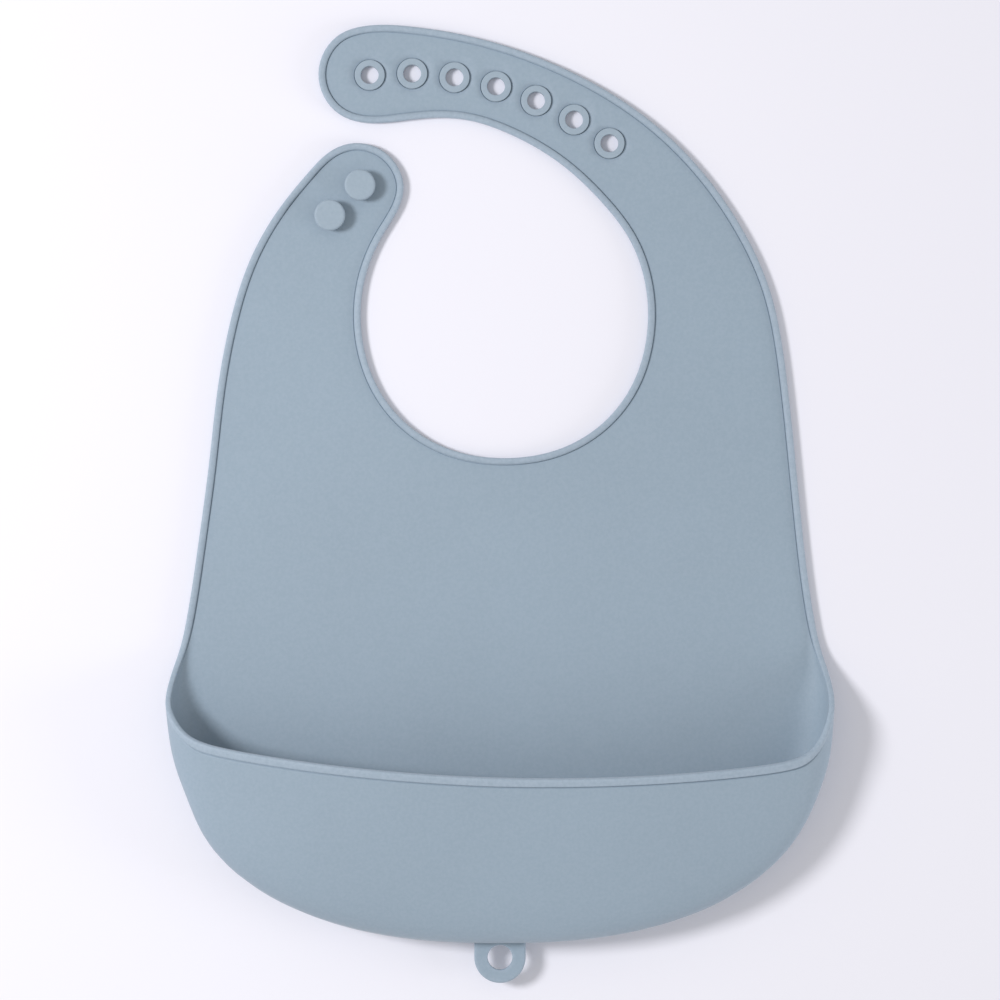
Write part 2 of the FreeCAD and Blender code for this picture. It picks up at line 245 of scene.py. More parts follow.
def silhouette(angle):
    c, s = np.cos(np.radians(angle)), np.sin(np.radians(angle))
    power = 2 / SILHOUETTE_POWER
    x = HALF_WIDTH * np.sign(c) * abs(c) ** power
    y = CORNER_Y - (CORNER_Y - POCKET_BOTTOM) * abs(s) ** power
    near = math.exp(-(((y - TUCK_Y) / TUCK_SPAN) ** 2))
    return np.array([x + (TUCK_LEFT if x < 0 else -TUCK_RIGHT) * near, y, 0])


def outward(angle):
    p = silhouette(angle)
    deep = CORNER_Y - POCKET_BOTTOM
    n = SILHOUETTE_POWER - 1
    g = np.array(
        [
            np.sign(p[0]) * (abs(p[0]) / HALF_WIDTH) ** n / HALF_WIDTH,
            -(((CORNER_Y - p[1]) / deep) ** n) / deep,
            0,
        ]
    )
    return g / np.linalg.norm(g)


def rim(angle):
    c = math.cos(math.radians(angle))
    q = abs(c) ** RIM_SPREAD
    rise = (CORNER_Y - RIM_Y) * (RIM_BOW * q**2 + RIM_CORNER_RISE * q**RIM_CORNER_POWER)
    x = HALF_WIDTH * math.copysign(q, c)
    skew = RIM_SKEW * x * (1 - q**RIM_CORNER_POWER)
    z = PARTING_Z + (POCKET_HEIGHT - PARTING_Z) * (1 - q**2) ** RIM_ARCH_POWER
    return np.array([x, RIM_Y + rise / (RIM_BOW + RIM_CORNER_RISE) + skew, z])


# -------------------------------------------------------- sections round the moulding


def turned(edge, out, reach, height):
    """The outside of the turn from the flat sheet up to the upright wall."""
    t = np.linspace(0, math.pi / 2, 24)[:, None]
    s, c = np.sin(t) ** TURN_POWER, np.maximum(np.cos(t), 0) ** TURN_POWER
    return edge - out * reach * (1 - s) + np.array([0, 0, height]) * (1 - c)


def front_line(angle):
    """The outside of the pocket's front, from the parting line up and over to the rim."""
    start, end = silhouette(angle) + [0, 0, PARTING_Z], rim(angle)
    over, up = (end - start) * [1, 1, 0], (end - start) * [0, 0, 1]
    p1, p2 = start + up * 0.42, start + over * 0.18 + up * 0.5
    b = np.linspace(0, 1, 24)[1:, None]
    a = 1 - b
    return start * a**3 + p1 * 3 * a * a * b + p2 * 3 * a * b * b + end * b**3


def outer_rows(line, lip):
    """One section's outside, in even rows with the lip's own rows at its top."""
    top = distances(line)[-1] - EDGE_WIDTH
    foot = top + EDGE_WIDTH - lip
    wall = np.linspace(0, foot - 1.1, LOWER_ROWS - 4)
    groove = foot - np.array(LIP_GROOVE_ROWS)
    above = np.linspace(foot + 0.35, top, LIP_ROWS - 1)
    return points_at(line, np.r_[wall, groove, foot, foot + 0.06, above])


def bead_rows():
    """The bead's section as distance in from the edge and height, in the wall's row order."""
    r, w, h, g = BEAD_ROUND, BEAD_WIDTH, BEAD_HEIGHT, BEAD_GROOVE
    lower = [(FLAT_REACH, 0), (0.6, 0), (0.25, 0.1), (0.06, 0.34), (0, 0.7), (0, h - r)]
    top = [(0, h - r), (0.07, h - 0.4), (0.25, h - 0.16), (0.5, h - 0.04), (r, h)]
    cap = [(r, h), (1.05, h - 0.02), (1.35, h - 0.08), (1.65, h - 0.18), (1.9, h - 0.32), (2.06, h - 0.48)]
    foot = [(w, PANEL + 0.3), (w + 0.03, PANEL - g), (w + 0.15, PANEL - g), (w + 0.22, PANEL)]
    step = [(w - 0.05, h - 0.66), *foot, (w + 0.3, PANEL), (w + 0.6, PANEL)]
    rows = [
        spread(lower, LOWER_ROWS),
        spread(top, LIP_ROWS + 1)[1:],
        np.array(cap[1:]),
        np.array(step),
        spread([(w + 0.6, PANEL), (FLAT_REACH, PANEL)], LOWER_ROWS + LIP_ROWS - 6)[1:],
    ]
    return np.vstack(rows)


def stations():
    """Round the whole bib: each section's edge point, outward heading and wall line."""
    line = outline()
    heading = np.gradient(line, axis=0)
    heading /= np.linalg.norm(heading, axis=1)[:, None]
    found = []
    for (x, y), (hx, hy) in zip(line, heading):
        edge, out = np.array([x, y, 0]), np.array([-hy, hx, 0])
        share = min(max((SIDE_TOP_Y - y) / (SIDE_TOP_Y - CORNER_Y), 0), 1)
        reach = SIDE_REACH_TOP + (TROUGH_REACH - SIDE_REACH_TOP) * share
        height = SIDE_HEIGHT_TOP + (PARTING_Z - SIDE_HEIGHT_TOP) * share**1.3
        wall = smoothstep((BEAD_FADES - y) / (BEAD_FADES - BEAD_GONE))
        found.append((edge, out, turned(edge, out, reach, height), 2 * EDGE_WIDTH, wall, 0))
    fine = np.linspace(0, 180, 1801)
    rims = np.array([rim(a) for a in fine])
    edges = np.array([silhouette(a) for a in fine])
    steps = np.linalg.norm(np.diff(rims, axis=0), axis=1)
    steps += np.linalg.norm(np.diff(edges, axis=0), axis=1)
    gone = np.r_[0, np.cumsum(steps / 2)]
    for angle in np.interp(np.arange(STATION, gone[-1] - STATION / 2, STATION), gone, fine):
        edge, out, top = silhouette(angle), outward(angle), rim(angle)
        grown = smoothstep((LIP_STARTS - abs(top[0])) / (LIP_STARTS - LIP_FULL))
        lower = turned(edge, out, TROUGH_REACH, PARTING_Z)
        lip = 2 * EDGE_WIDTH + (LIP_WIDTH - 2 * EDGE_WIDTH) * grown
        found.append((edge, out, np.vstack([lower, front_line(angle)]), lip, 1, grown))
    return found


def eased_corners(grid, corners, reach=9.0, passes=14):
    """The grid with its sections run together smoothly near the pocket's corners."""
    middle = grid[:, LOWER_ROWS, :]
    near = np.zeros(len(grid))
    for x, y in corners:
        far = np.hypot(middle[:, 0] - x, middle[:, 1] - y)
        near = np.maximum(near, np.exp(-((far / reach) ** 2)))
    for _ in range(passes):
        between = (np.roll(grid, 1, axis=0) + np.roll(grid, -1, axis=0)) / 2
        grid = grid + (between - grid) * (0.6 * near[:, None, None])
    return grid


def moulding_grid():
    """Every section as one row of points, from under the sheet, over the edge, to its top."""
    found = stations()
    outer = np.array([outer_rows(line, lip) for _, _, line, lip, _, _ in found])
    corners = [(HALF_WIDTH, CORNER_Y), (-HALF_WIDTH, CORNER_Y)]
    outer = eased_corners(outer, corners)
    round_about = (np.roll(outer, -1, axis=0) - np.roll(outer, 1, axis=0)) / 2
    upward = np.gradient(outer, axis=1)
    normal = np.cross(upward, round_about)
    normal /= np.linalg.norm(normal, axis=2)[:, :, None]
    outs = np.array([f[1] for f in found])
    if (normal[:, LOWER_ROWS // 2] * outs).sum() < 0:
        normal = -normal
    normal[:, 0] = (0, 0, -1)
    bead = bead_rows()
    grid = []
    phi = np.radians(np.linspace(0, 180, EDGE_ROWS + 2))[1:-1, None]
    for i, (edge, out, _, _, wall, grown) in enumerate(found):
        o, n = outer[i].copy(), normal[i]
        inner = (o - n * WALL)[::-1]
        inner[-1] = (*o[0][:2], PANEL)
        proud = LIP_PROUD * grown
        o[LOWER_ROWS - 3 : LOWER_ROWS - 1] -= n[LOWER_ROWS - 3 : LOWER_ROWS - 1] * (LIP_GROOVE * grown)
        o[LOWER_ROWS:] += n[LOWER_ROWS:] * proud
        tip = o[-1] - o[-2]
        tip /= np.linalg.norm(tip)
        half = (o[-1] - inner[0]) / 2
        across = np.sign(np.cos(phi)) * abs(np.cos(phi)) ** EDGE_SQUARE
        edge_row = inner[0] + half + half * across + tip * EDGE_WIDTH * np.sin(phi) ** EDGE_SQUARE
        section = np.vstack([o, edge_row, inner])
        flat = edge - out * bead[:, :1] + np.array([0, 0, 1]) * bead[:, 1:]
        grid.append(flat * (1 - wall) + section * wall)
    return np.array(grid)


# --------------------------------------------------------------------- closed skins


def fill_between(loop, holes, spacing):
    """Triangles inside a loop and outside the holes; returns all points and the triangles."""
    rings = [np.asarray(loop, float)] + [np.asarray(h, float) for h in holes]
    edges, start = [], 0
    for ring in rings:
        n = len(ring)
        edges += [(start + i, start + (i + 1) % n) for i in range(n)]
        start += n
    fixed = np.vstack(rings)
    low, high = rings[0].min(axis=0), rings[0].max(axis=0)
    xs = np.arange(low[0], high[0], spacing)
    ys = np.arange(low[1], high[1], spacing * 0.866)
    gx, gy = np.meshgrid(xs, ys)
    gx = gx + (np.arange(len(ys)) % 2)[:, None] * spacing / 2
    points = np.stack([gx.ravel(), gy.ravel()], axis=1)
    points = points[inside(points, rings[0])]
    far = [np.min(np.hypot(*(fixed - p).T)) for p in points]
    points = points[np.array(far) > spacing * 0.55]
    for hole in rings[1:]:
        points = points[~inside(points, hole)]
    everything = np.vstack([fixed, points])
    made = delaunay_2d_cdt([Vector(p) for p in everything], edges, [], 1, 1e-6, True)
    back = np.array([origin[0] for origin in made[3]])
    triangles = back[np.array(made[2])]
    middles = everything[triangles].mean(axis=1)
    keep = inside(middles, rings[0])
    for hole in rings[1:]:
        keep &= ~inside(middles, hole)
    return everything, triangles[keep].tolist()


def inside(points, ring):
    """Which of the points lie inside a closed loop."""
    crossed = np.zeros(len(points), int)
    x, y = np.asarray(points).T
    for (x0, y0), (x1, y1) in zip(ring, np.roll(ring, -1, axis=0)):
        if y0 != y1:
            spans = (y0 > y) != (y1 > y)
            crossed += spans & (x < x0 + (y - y0) / (y1 - y0) * (x1 - x0))
    return crossed % 2 == 1


def closed_skin(grid, holes, spacing, sheen_rows):
    """A closed mesh from a ring of sections, filled over its top and bottom round the holes.
    A hole is its centre and its own section as (radius, height) from the top to the bottom."""
    count, rows = grid.shape[:2]
    points = [tuple(p) for p in grid.reshape(-1, 3)]
    # Each point gets a share of painted pale sheen: the marked section rows as given, hole rims half, the
    # filled top and bottom none.
    sheen_marks = list(np.tile(sheen_rows, count))
    faces = []
    for i in range(count):
        j = (i + 1) % count
        for k in range(rows - 1):
            a, b = i * rows + k, j * rows + k
            faces.append((a, b, b + 1, a + 1))
    around = np.linspace(0, 2 * math.pi, HOLE_SIDES, endpoint=False)
    circle = np.stack([np.cos(around), np.sin(around)], axis=1)
    starts = []
    for centre, section in holes:
        starts.append(len(points))
        for radius, height in section:
            points += [(*(np.array(centre) + radius * c), height) for c in circle]
            sheen_marks += [0.5] * HOLE_SIDES
        for k in range(len(section) - 1):
            for s in range(HOLE_SIDES):
                a = starts[-1] + k * HOLE_SIDES + s
                b = starts[-1] + k * HOLE_SIDES + (s + 1) % HOLE_SIDES
                faces.append((a, b, b + HOLE_SIDES, a + HOLE_SIDES))
    for row, last in ((0, True), (rows - 1, False)):
        loop = grid[:, row, :2]
        rings, known = [], [i * rows + row for i in range(count)]
        for (centre, section), start in zip(holes, starts):
            step = (len(section) - 1) * HOLE_SIDES if last else 0
            rings.append([points[start + step + s][:2] for s in range(HOLE_SIDES)])
            known += [start + step + s for s in range(HOLE_SIDES)]
        flat, triangles = fill_between(loop, rings, spacing)
        level = grid[0, row, 2]
        for p in flat[len(known):]:
            known.append(len(points))
            points.append((*p, level))
            sheen_marks.append(0)
        faces += [tuple(known[i] for i in t) for t in triangles]
    mesh = bpy.data.meshes.new("skin")
    mesh.from_pydata(points, [], faces)
    mesh.attributes.new("edge_sheen", "FLOAT", "POINT").data.foreach_set("value", sheen_marks)
    skin = bmesh.new()
    skin.from_mesh(mesh)
    bpy.data.meshes.remove(mesh)
    bmesh.ops.recalc_face_normals(skin, faces=skin.faces)
    if skin.calc_volume(signed=True) < 0:
        bmesh.ops.reverse_faces(skin, faces=skin.faces)
    return skin


def cut_across(skin, point, heading, reach):
    """Parts the skin along an upright plane, near one place only."""
    near = [f for f in skin.faces if (f.calc_center_median() - point).xy.length < reach]
    edges = {e for f in near for e in f.edges}
    corners = {v for f in near for v in f.verts}
    made = bmesh.ops.bisect_plane(
        skin,
        geom=near + list(edges) + list(corners),
        dist=0.002,
        plane_co=point,
        plane_no=heading,
    )
    line = [e for e in made["geom_cut"] if isinstance(e, bmesh.types.BMEdge)]
    bmesh.ops.split_edges(skin, edges=line)


def capped(skin):
    """Closes every opening left by a cut, with a crisp edge round it."""
    rims = [e for e in skin.edges if e.is_boundary]
    made = bmesh.ops.holes_fill(skin, edges=rims, sides=0)
    for face in made["faces"]:
        for e in face.edges:
            e.smooth = False
    bmesh.ops.triangulate(skin, faces=made["faces"])


def split_off(skin, seed):
    """The piece of the skin that lies nearest the seed, as its own bmesh."""
    start = min(skin.verts, key=lambda v: (v.co.xy - seed).length)
    found, queue = {start}, [start]
    while queue:
        for e in queue.pop().link_edges:
            for v in e.verts:
                if v not in found:
                    found.add(v)
                    queue.append(v)
    part = skin.copy()
    keep = {v.index for v in found}
    skin.verts.ensure_lookup_table()
    gone = [v for v in part.verts if v.index not in keep]
    bmesh.ops.delete(part, geom=gone, context="VERTS")
    return part


def finished(name, part, material):
    """An object in metres from a bmesh in millimetres, smooth but for its crisp edges."""
    mesh = bpy.data.meshes.new(name)
    for f in part.faces:
        f.smooth = True
    bmesh.ops.scale(part, vec=(MM, MM, MM), verts=part.verts)
    part.to_mesh(mesh)
    part.free()
    mesh.materials.append(material)
    made = bpy.data.objects.new(name, mesh)
    bpy.context.scene.collection.objects.link(made)
    return made


# --------------------------------------------------------------------- node helpers


def linear(*rgb):
    """A listed colour, as the light it stands for."""
    light = [(c / 255 / 12.92 if c <= 10 else ((c / 255 + 0.055) / 1.055) ** 2.4) for c in rgb]
    return (*light, 1)


def add(tree, kind, into=None, **settings):
    """A node with its settings; into gives values or links for its inputs, by name."""
    node = tree.nodes.new(kind)
    for key, value in settings.items():
        setattr(node, key, value)
    for key, value in (into or {}).items():
        if isinstance(value, bpy.types.NodeSocket):
            tree.links.new(value, node.inputs[key])
        else:
            node.inputs[key].default_value = value
    return node


def silicone(name, base, pale, grain):
    """Matt moulded silicone: faint clouding, a fine spark-eroded grain, and painted sheen: the marked
    edges are mixed in patches towards the pale colour, a painted highlight standing for how they catch the
    light.
    """
    material = bpy.data.materials.new(name)
    material.use_nodes = True
    t = material.node_tree
    t.nodes.clear()
    place = add(t, "ShaderNodeTexCoord").outputs["Object"]
    clouds = add(t, "ShaderNodeTexNoise", {"Vector": place, "Scale": 14, "Detail": 3})
    mottle = add(t, "ShaderNodeTexNoise", {"Vector": place, "Scale": 900, "Detail": 4})
    fine = add(t, "ShaderNodeTexNoise", {"Vector": place, "Scale": 3200, "Detail": 2})
    soft = add(t, "ShaderNodeTexNoise", {"Vector": place, "Scale": 55, "Detail": 2})
    sheen_mask = add(t, "ShaderNodeAttribute", attribute_name="edge_sheen").outputs["Fac"]
    tone = add(
        t,
        "ShaderNodeMapRange",
        {"Value": clouds.outputs["Fac"], "From Min": 0.3, "From Max": 0.7},
    ).outputs["Result"]
    darker = tuple(c * 0.955 for c in base[:3]) + (1,)
    body = add(t, "ShaderNodeMix", {0: tone, 6: darker, 7: base}, data_type="RGBA")
    speck = add(
        t,
        "ShaderNodeMapRange",
        {
            "Value": mottle.outputs["Fac"],
            "From Min": 0.35,
            "From Max": 0.65,
            "To Min": 0.0,
            "To Max": 0.1,
        },
    ).outputs["Result"]
    dusty = add(t, "ShaderNodeMix", {0: speck, 6: body.outputs[2], 7: pale}, data_type="RGBA")
    # Painted highlight: on marked edges a patchy share, up to 0.4, of the pale colour is laid on as sheen.
    patchy_sheen = add(t, "ShaderNodeMath", {0: sheen_mask, 1: mottle.outputs["Fac"]}, operation="MULTIPLY")
    sheen_share = add(t, "ShaderNodeMath", {0: patchy_sheen.outputs[0], 1: 0.4}, operation="MULTIPLY")
    sheen_lit = add(
        t, "ShaderNodeMix", {0: sheen_share.outputs[0], 6: dusty.outputs[2], 7: pale}, data_type="RGBA"
    )
    rough = add(
        t,
        "ShaderNodeMapRange",
        {"Value": soft.outputs["Fac"], "To Min": 0.5, "To Max": 0.68},
    ).outputs["Result"]
    waves = add(
        t,
        "ShaderNodeBump",
        {"Height": soft.outputs["Fac"], "Strength": 0.08, "Distance": 0.0002},
    )
    bump = add(
        t,
        "ShaderNodeBump",
        {
            "Height": fine.outputs["Fac"],
            "Strength": grain,
            "Distance": 0.00005,
            "Normal": waves.outputs["Normal"],
        },
    )
    shader = add(
        t,
        "ShaderNodeBsdfPrincipled",
        {
            "Base Color": sheen_lit.outputs[2],
            "Roughness": rough,
            "Normal": bump.outputs["Normal"],
            "IOR": 1.41,
            "Specular IOR Level": 0.45,
            "Sheen Weight": 0.18,
            "Sheen Roughness": 0.45,
            "Subsurface Weight": 0.06,
            "Subsurface Radius": (0.9, 1.0, 1.15),
            "Subsurface Scale": 0.0018,
        },
    )
    out = add(t, "ShaderNodeOutputMaterial")
    t.links.new(shader.outputs[0], out.inputs["Surface"])
    return material


def table_top():
    material = bpy.data.materials.new("table_paper")
    material.use_nodes = True
    t = material.node_tree
    t.nodes.clear()
    place = add(t, "ShaderNodeTexCoord").outputs["Object"]
    broad = add(t, "ShaderNodeTexNoise", {"Vector": place, "Scale": 2.2, "Detail": 2})
    tint = add(
        t,
        "ShaderNodeMix",
        {0: broad.outputs["Fac"], 6: (0.84, 0.84, 0.925, 1), 7: (0.865, 0.87, 0.93, 1)},
        data_type="RGBA",
    )
    fine = add(t, "ShaderNodeTexNoise", {"Vector": place, "Scale": 900, "Detail": 2})
    bump = add(
        t,
        "ShaderNodeBump",
        {"Height": fine.outputs["Fac"], "Strength": 0.05, "Distance": 0.0001},
    )
    shader = add(
        t,
        "ShaderNodeBsdfPrincipled",
        {
            "Base Color": tint.outputs[2],
            "Roughness": 0.9,
            "Specular IOR Level": 0.15,
            "Normal": bump.outputs["Normal"],
        },
    )
    out = add(t, "ShaderNodeOutputMaterial")
    t.links.new(shader.outputs[0], out.inputs["Surface"])
    return material


class Rule:
    """A Geometry Nodes tree with named sizes, used once and left as a plain mesh."""

    def __init__(self, name, sizes, material):
        self.tree = bpy.data.node_groups.new(name, "GeometryNodeTree")
        face = self.tree.interface
        face.new_socket("Geometry", in_out="INPUT", socket_type="NodeSocketGeometry")
        for key, value in sizes.items():
            kind = "NodeSocketInt" if isinstance(value, int) else "NodeSocketFloat"
            face.new_socket(key, in_out="INPUT", socket_type=kind).default_value = value
        face.new_socket("Geometry", in_out="OUTPUT", socket_type="NodeSocketGeometry")
        self.sizes, self.material = sizes, material
        self.given = self.tree.nodes.new("NodeGroupInput").outputs

    def add(self, kind, into=None, **settings):
        return add(self.tree, kind, into, **settings)

    def math(self, operation, a, b):
        return self.add("ShaderNodeMath", {0: a, 1: b}, operation=operation).outputs[0]

    def end(self, geometry):
        """Real, smooth, single-material geometry leaves the tree."""
        real = self.add("GeometryNodeRealizeInstances", {"Geometry": geometry})
        joined = self.add("GeometryNodeMergeByDistance", {0: real.outputs[0], "Distance": 2e-6})
        smooth = self.add("GeometryNodeSetShadeSmooth", {0: joined.outputs[0]})
        skin = self.add(
            "GeometryNodeSetMaterial", {"Geometry": smooth.outputs[0], "Material": self.material}
        )
        out = self.tree.nodes.new("NodeGroupOutput")
        self.tree.links.new(skin.outputs[0], out.inputs[0])

    def run(self, name, places):
        """The tree's result at the places, as a finished piece."""
        seed = bpy.data.meshes.new(name + "_places")
        seed.from_pydata([tuple(p) for p in places], [], [])
        holder = bpy.data.objects.new(name + "_places", seed)
        bpy.context.scene.collection.objects.link(holder)
        modifier = holder.modifiers.new(name, "NODES")
        modifier.node_group = self.tree
        for item in self.tree.interface.items_tree:
            if item.in_out == "INPUT" and item.name in self.sizes:
                modifier[item.identifier] = self.sizes[item.name]
        ready = bpy.context.evaluated_depsgraph_get()
        mesh = bpy.data.meshes.new_from_object(holder.evaluated_get(ready))
        holder.modifiers.remove(modifier)
        bpy.data.objects.remove(holder)
        bpy.data.meshes.remove(seed)
        mesh.name = name
        tidy = bmesh.new()
        tidy.from_mesh(mesh)
        bmesh.ops.recalc_face_normals(tidy, faces=tidy.faces)
        if tidy.calc_volume(signed=True) < 0:
            bmesh.ops.reverse_faces(tidy, faces=tidy.faces)
        tidy.to_mesh(mesh)
        tidy.free()
        made = bpy.data.objects.new(name, mesh)
        bpy.context.scene.collection.objects.link(made)
        return made


def collar_rule(material):
    """A ring of rounded section at each place, seated through the strap."""
    rule = Rule(
        "eyelet_collar",
        {
            "Hole": EYELET_HOLE * MM,
            "Collar": EYELET_COLLAR * MM,
            "Height": EYELET_HEIGHT * MM,
            "Edge Round": 0.22 * MM,
            "Sides": 48,
        },
        material,
    )
    g = rule.given
    width = rule.math("MULTIPLY", rule.math("SUBTRACT", g["Collar"], g["Hole"]), 0.5)
    middle = rule.math("MULTIPLY", rule.math("ADD", g["Collar"], g["Hole"]), 0.25)
    box = rule.add("GeometryNodeCurvePrimitiveQuadrilateral", {"Width": width, "Height": g["Height"]})
    section = rule.add(
        "GeometryNodeFilletCurve",
        {"Curve": box.outputs[0], "Radius": g["Edge Round"], "Count": 5},
        mode="POLY",
    )
    path = rule.add("GeometryNodeCurvePrimitiveCircle", {"Resolution": g["Sides"], "Radius": middle})
    ring = rule.add(
        "GeometryNodeCurveToMesh", {"Curve": path.outputs[0], "Profile Curve": section.outputs[0]}
    )
    lift = rule.add("ShaderNodeCombineXYZ", {"Z": rule.math("MULTIPLY", g["Height"], 0.5)})
    raised = rule.add(
        "GeometryNodeTransform", {"Geometry": ring.outputs[0], "Translation": lift.outputs[0]}
    )
    placed = rule.add(
        "GeometryNodeInstanceOnPoints", {"Points": g["Geometry"], "Instance": raised.outputs[0]}
    )
    rule.end(placed.outputs[0])
    return rule


def stud_rule(material):
    """A flat mushroom at each place: a short stem under a head with rounded edges."""
    rule = Rule(
        "stud",
        {
            "Head": STUD_HEAD * MM,
            "Head Height": STUD_HEAD_HEIGHT * MM,
            "Stem": STUD_STEM * MM,
            "Stem Height": STUD_STEM_HEIGHT * MM,
            "Edge Round": STUD_ROUND * MM,
            "Sides": 64,
        },
        material,
    )
    g = rule.given
    stem, head = rule.math("MULTIPLY", g["Stem"], 0.5), rule.math("MULTIPLY", g["Head"], 0.5)
    under = g["Stem Height"]
    top = rule.math("ADD", under, g["Head Height"])
    corners = [(0.0, 0.0), (stem, 0.0), (stem, under), (head, under), (head, top), (0.0, top)]
    line = rule.add("GeometryNodeMeshLine", {"Count": len(corners)})
    pick = rule.add("GeometryNodeIndexSwitch", data_type="VECTOR")
    while len(pick.index_switch_items) < len(corners):
        pick.index_switch_items.new()
    rule.tree.links.new(rule.add("GeometryNodeInputIndex").outputs[0], pick.inputs["Index"])
    for i, (across, up) in enumerate(corners):
        corner = rule.add("ShaderNodeCombineXYZ", {"X": across, "Z": up})
        rule.tree.links.new(corner.outputs[0], pick.inputs[i + 1])
    shaped = rule.add("GeometryNodeSetPosition", {0: line.outputs[0], "Position": pick.outputs[0]})
    profile = rule.add("GeometryNodeMeshToCurve", {0: shaped.outputs[0]})
    place = rule.add("GeometryNodeInputPosition")
    off_axis = rule.add("ShaderNodeSeparateXYZ", {0: place.outputs[0]})
    off = rule.math("GREATER_THAN", off_axis.outputs["X"], rule.math("MULTIPLY", head, 0.9))
    round_off = rule.math("MULTIPLY", off, g["Edge Round"])
    section = rule.add(
        "GeometryNodeFilletCurve",
        {"Curve": profile.outputs[0], "Radius": round_off, "Count": 6},
        mode="POLY",
    )
    lathe = revolved(rule, section.outputs[0], g["Sides"])
    placed = rule.add(
        "GeometryNodeInstanceOnPoints", {"Points": g["Geometry"], "Instance": lathe}
    )
    rule.end(placed.outputs[0])
    return rule


def revolved(rule, profile, sides):
    """The profile turned about the upright axis, as a grid bent round by angle."""
    points = rule.add("GeometryNodeResampleCurve", {"Curve": profile, "Count": 60})
    rows = 60
    grid = rule.add(
        "GeometryNodeMeshGrid",
        {"Size X": 1.0, "Size Y": 1.0, "Vertices X": rows, "Vertices Y": rule.math("ADD", sides, 1.0)},
    )
    where = rule.add("GeometryNodeInputPosition")
    uv = rule.add("ShaderNodeSeparateXYZ", {0: where.outputs[0]})
    share = rule.math("ADD", uv.outputs["X"], 0.5)
    angle = rule.math("MULTIPLY", rule.math("ADD", uv.outputs["Y"], 0.5), 2 * math.pi)
    sample = rule.add(
        "GeometryNodeSampleCurve", {"Curves": points.outputs[0], "Factor": share}, mode="FACTOR"
    )
    at = rule.add("ShaderNodeSeparateXYZ", {0: sample.outputs["Position"]})
    x = rule.math("MULTIPLY", at.outputs["X"], rule.math("COSINE", angle, 0.0))
    y = rule.math("MULTIPLY", at.outputs["X"], rule.math("SINE", angle, 0.0))
    spot = rule.add("ShaderNodeCombineXYZ", {"X": x, "Y": y, "Z": at.outputs["Z"]})
    moved = rule.add("GeometryNodeSetPosition", {0: grid.outputs[0], "Position": spot.outputs[0]})
    return moved.outputs[0]


# -------------------------------------------------------------------------- the bib

# The sheet's pale colour doubles as its painted edge sheen. The collars and studs get a lighter copy of
# the same silicone, a painted highlight on the raised parts.
SHEET = silicone("sheet_silicone", linear(149, 167, 182), linear(185, 198, 213), 0.35)
HIGHLIGHTED_SILICONE = silicone("edge_silicone", linear(154, 171, 185), linear(192, 204, 216), 0.3)

grid = moulding_grid()
row_count = grid.shape[1]
# The bead tops, the pocket's lip and its top edge are marked for painted pale sheen, a painted highlight
# where these edges catch the light.
sheen_rows = np.zeros(row_count)
sheen_rows[LOWER_ROWS - 2 : LOWER_ROWS + LIP_ROWS + EDGE_ROWS + 2] = 1
strap_places = [along_strap(i)[0] for i in range(7)]
seat = EYELET_SEAT / 2
rim_out, groove_floor = EYELET_COLLAR / 2 + 0.2, PANEL - SEAT_GROOVE
seat_section = [
    (rim_out + 0.1, PANEL),
    (rim_out, PANEL - 0.08),
    (rim_out - 0.02, groove_floor),
    (seat + 0.3, groove_floor),
    (seat, groove_floor),
    (seat, 0.0),
]
eyelet_seats = [((p.x, p.y), seat_section) for p in strap_places]
skin = closed_skin(grid, eyelet_seats, FILL, sheen_rows)

stud_heading = Vector(
    (math.cos(math.radians(STUD_BEND_ANGLE)), math.sin(math.radians(STUD_BEND_ANGLE)), 0)
)
stud_bend = Vector((*STUD_BEND_PLACE, BEND_Z))
cut_across(skin, Vector((0, FOLD_SEAM_Y, 0)), Vector((0, 1, 0)), 2 * HALF_WIDTH)
cut_across(skin, stud_bend + stud_heading * STUD_SEAM, stud_heading, 2 * STUD_END_RADIUS)
for seam in (ROOT_SEAM, MIDDLE_SEAM, TIP_SEAM):
    cut_across(skin, *along_strap(seam), 2 * STRAP_END_RADIUS)
capped(skin)
skin.verts.index_update()


def part(name, seed, nodes, bodies, bend):
    """One length of the moulding: split off and put in place of nodes."""
    made = finished(name, split_off(skin, Vector(seed)), SHEET)
    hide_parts(*nodes)
    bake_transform(made)
    return made


def strap_bend(pitches):
    return [along_strap(p)[0] for p in pitches]


ROOT_BODIES = ("chest_upper", "eyelet_strap_root")
MIDDLE_BODIES = ("eyelet_strap_root", "eyelet_strap_middle")
TIP_BODIES = ("eyelet_strap_middle", "eyelet_strap_tip")

part(
    "pocket_and_lower_chest",
    (0, -60),
    [
        "chest_lower_panel",
        "chest_lower_bead_left",
        "chest_lower_bead_right",
        "pocket_back",
        "pocket_side_left",
        "pocket_side_right",
        "pocket_trough_left",
        "pocket_trough_middle",
        "pocket_trough_right",
        "pocket_front",
        "pocket_lip",
    ],
    ("chest_lower", "pocket_front_wall"),
    [(0, 0, PARTING_Z), (0, 0, POCKET_HEIGHT)],
)
part(
    "upper_chest",
    (70, 20),
    ["chest_upper_panel", "chest_upper_bead_left", "chest_upper_bead_right", "neck_bead"],
    ("chest_lower", "chest_upper"),
    [(0, y, 0) for y in FOLD_BEND],
)
part(
    "stud_strap_sheet",
    (-52, 106),
    ["stud_strap_panel", "stud_strap_bead"],
    ("chest_upper", "stud_strap"),
    [stud_bend + stud_heading * s for s in STUD_BEND],
)
for name, seed, bodies, bend in (
    ("root", 5.5, ROOT_BODIES, ROOT_BEND),
    ("middle", 3.5, MIDDLE_BODIES, MIDDLE_BEND),
    ("tip", 1.5, TIP_BODIES, TIP_BEND),
):
    stem = "eyelet_strap_" + name
    nodes = [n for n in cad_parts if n.startswith(stem + "_")]
    part(stem + "_sheet", along_strap(seed)[0].xy, nodes, bodies, strap_bend(bend))

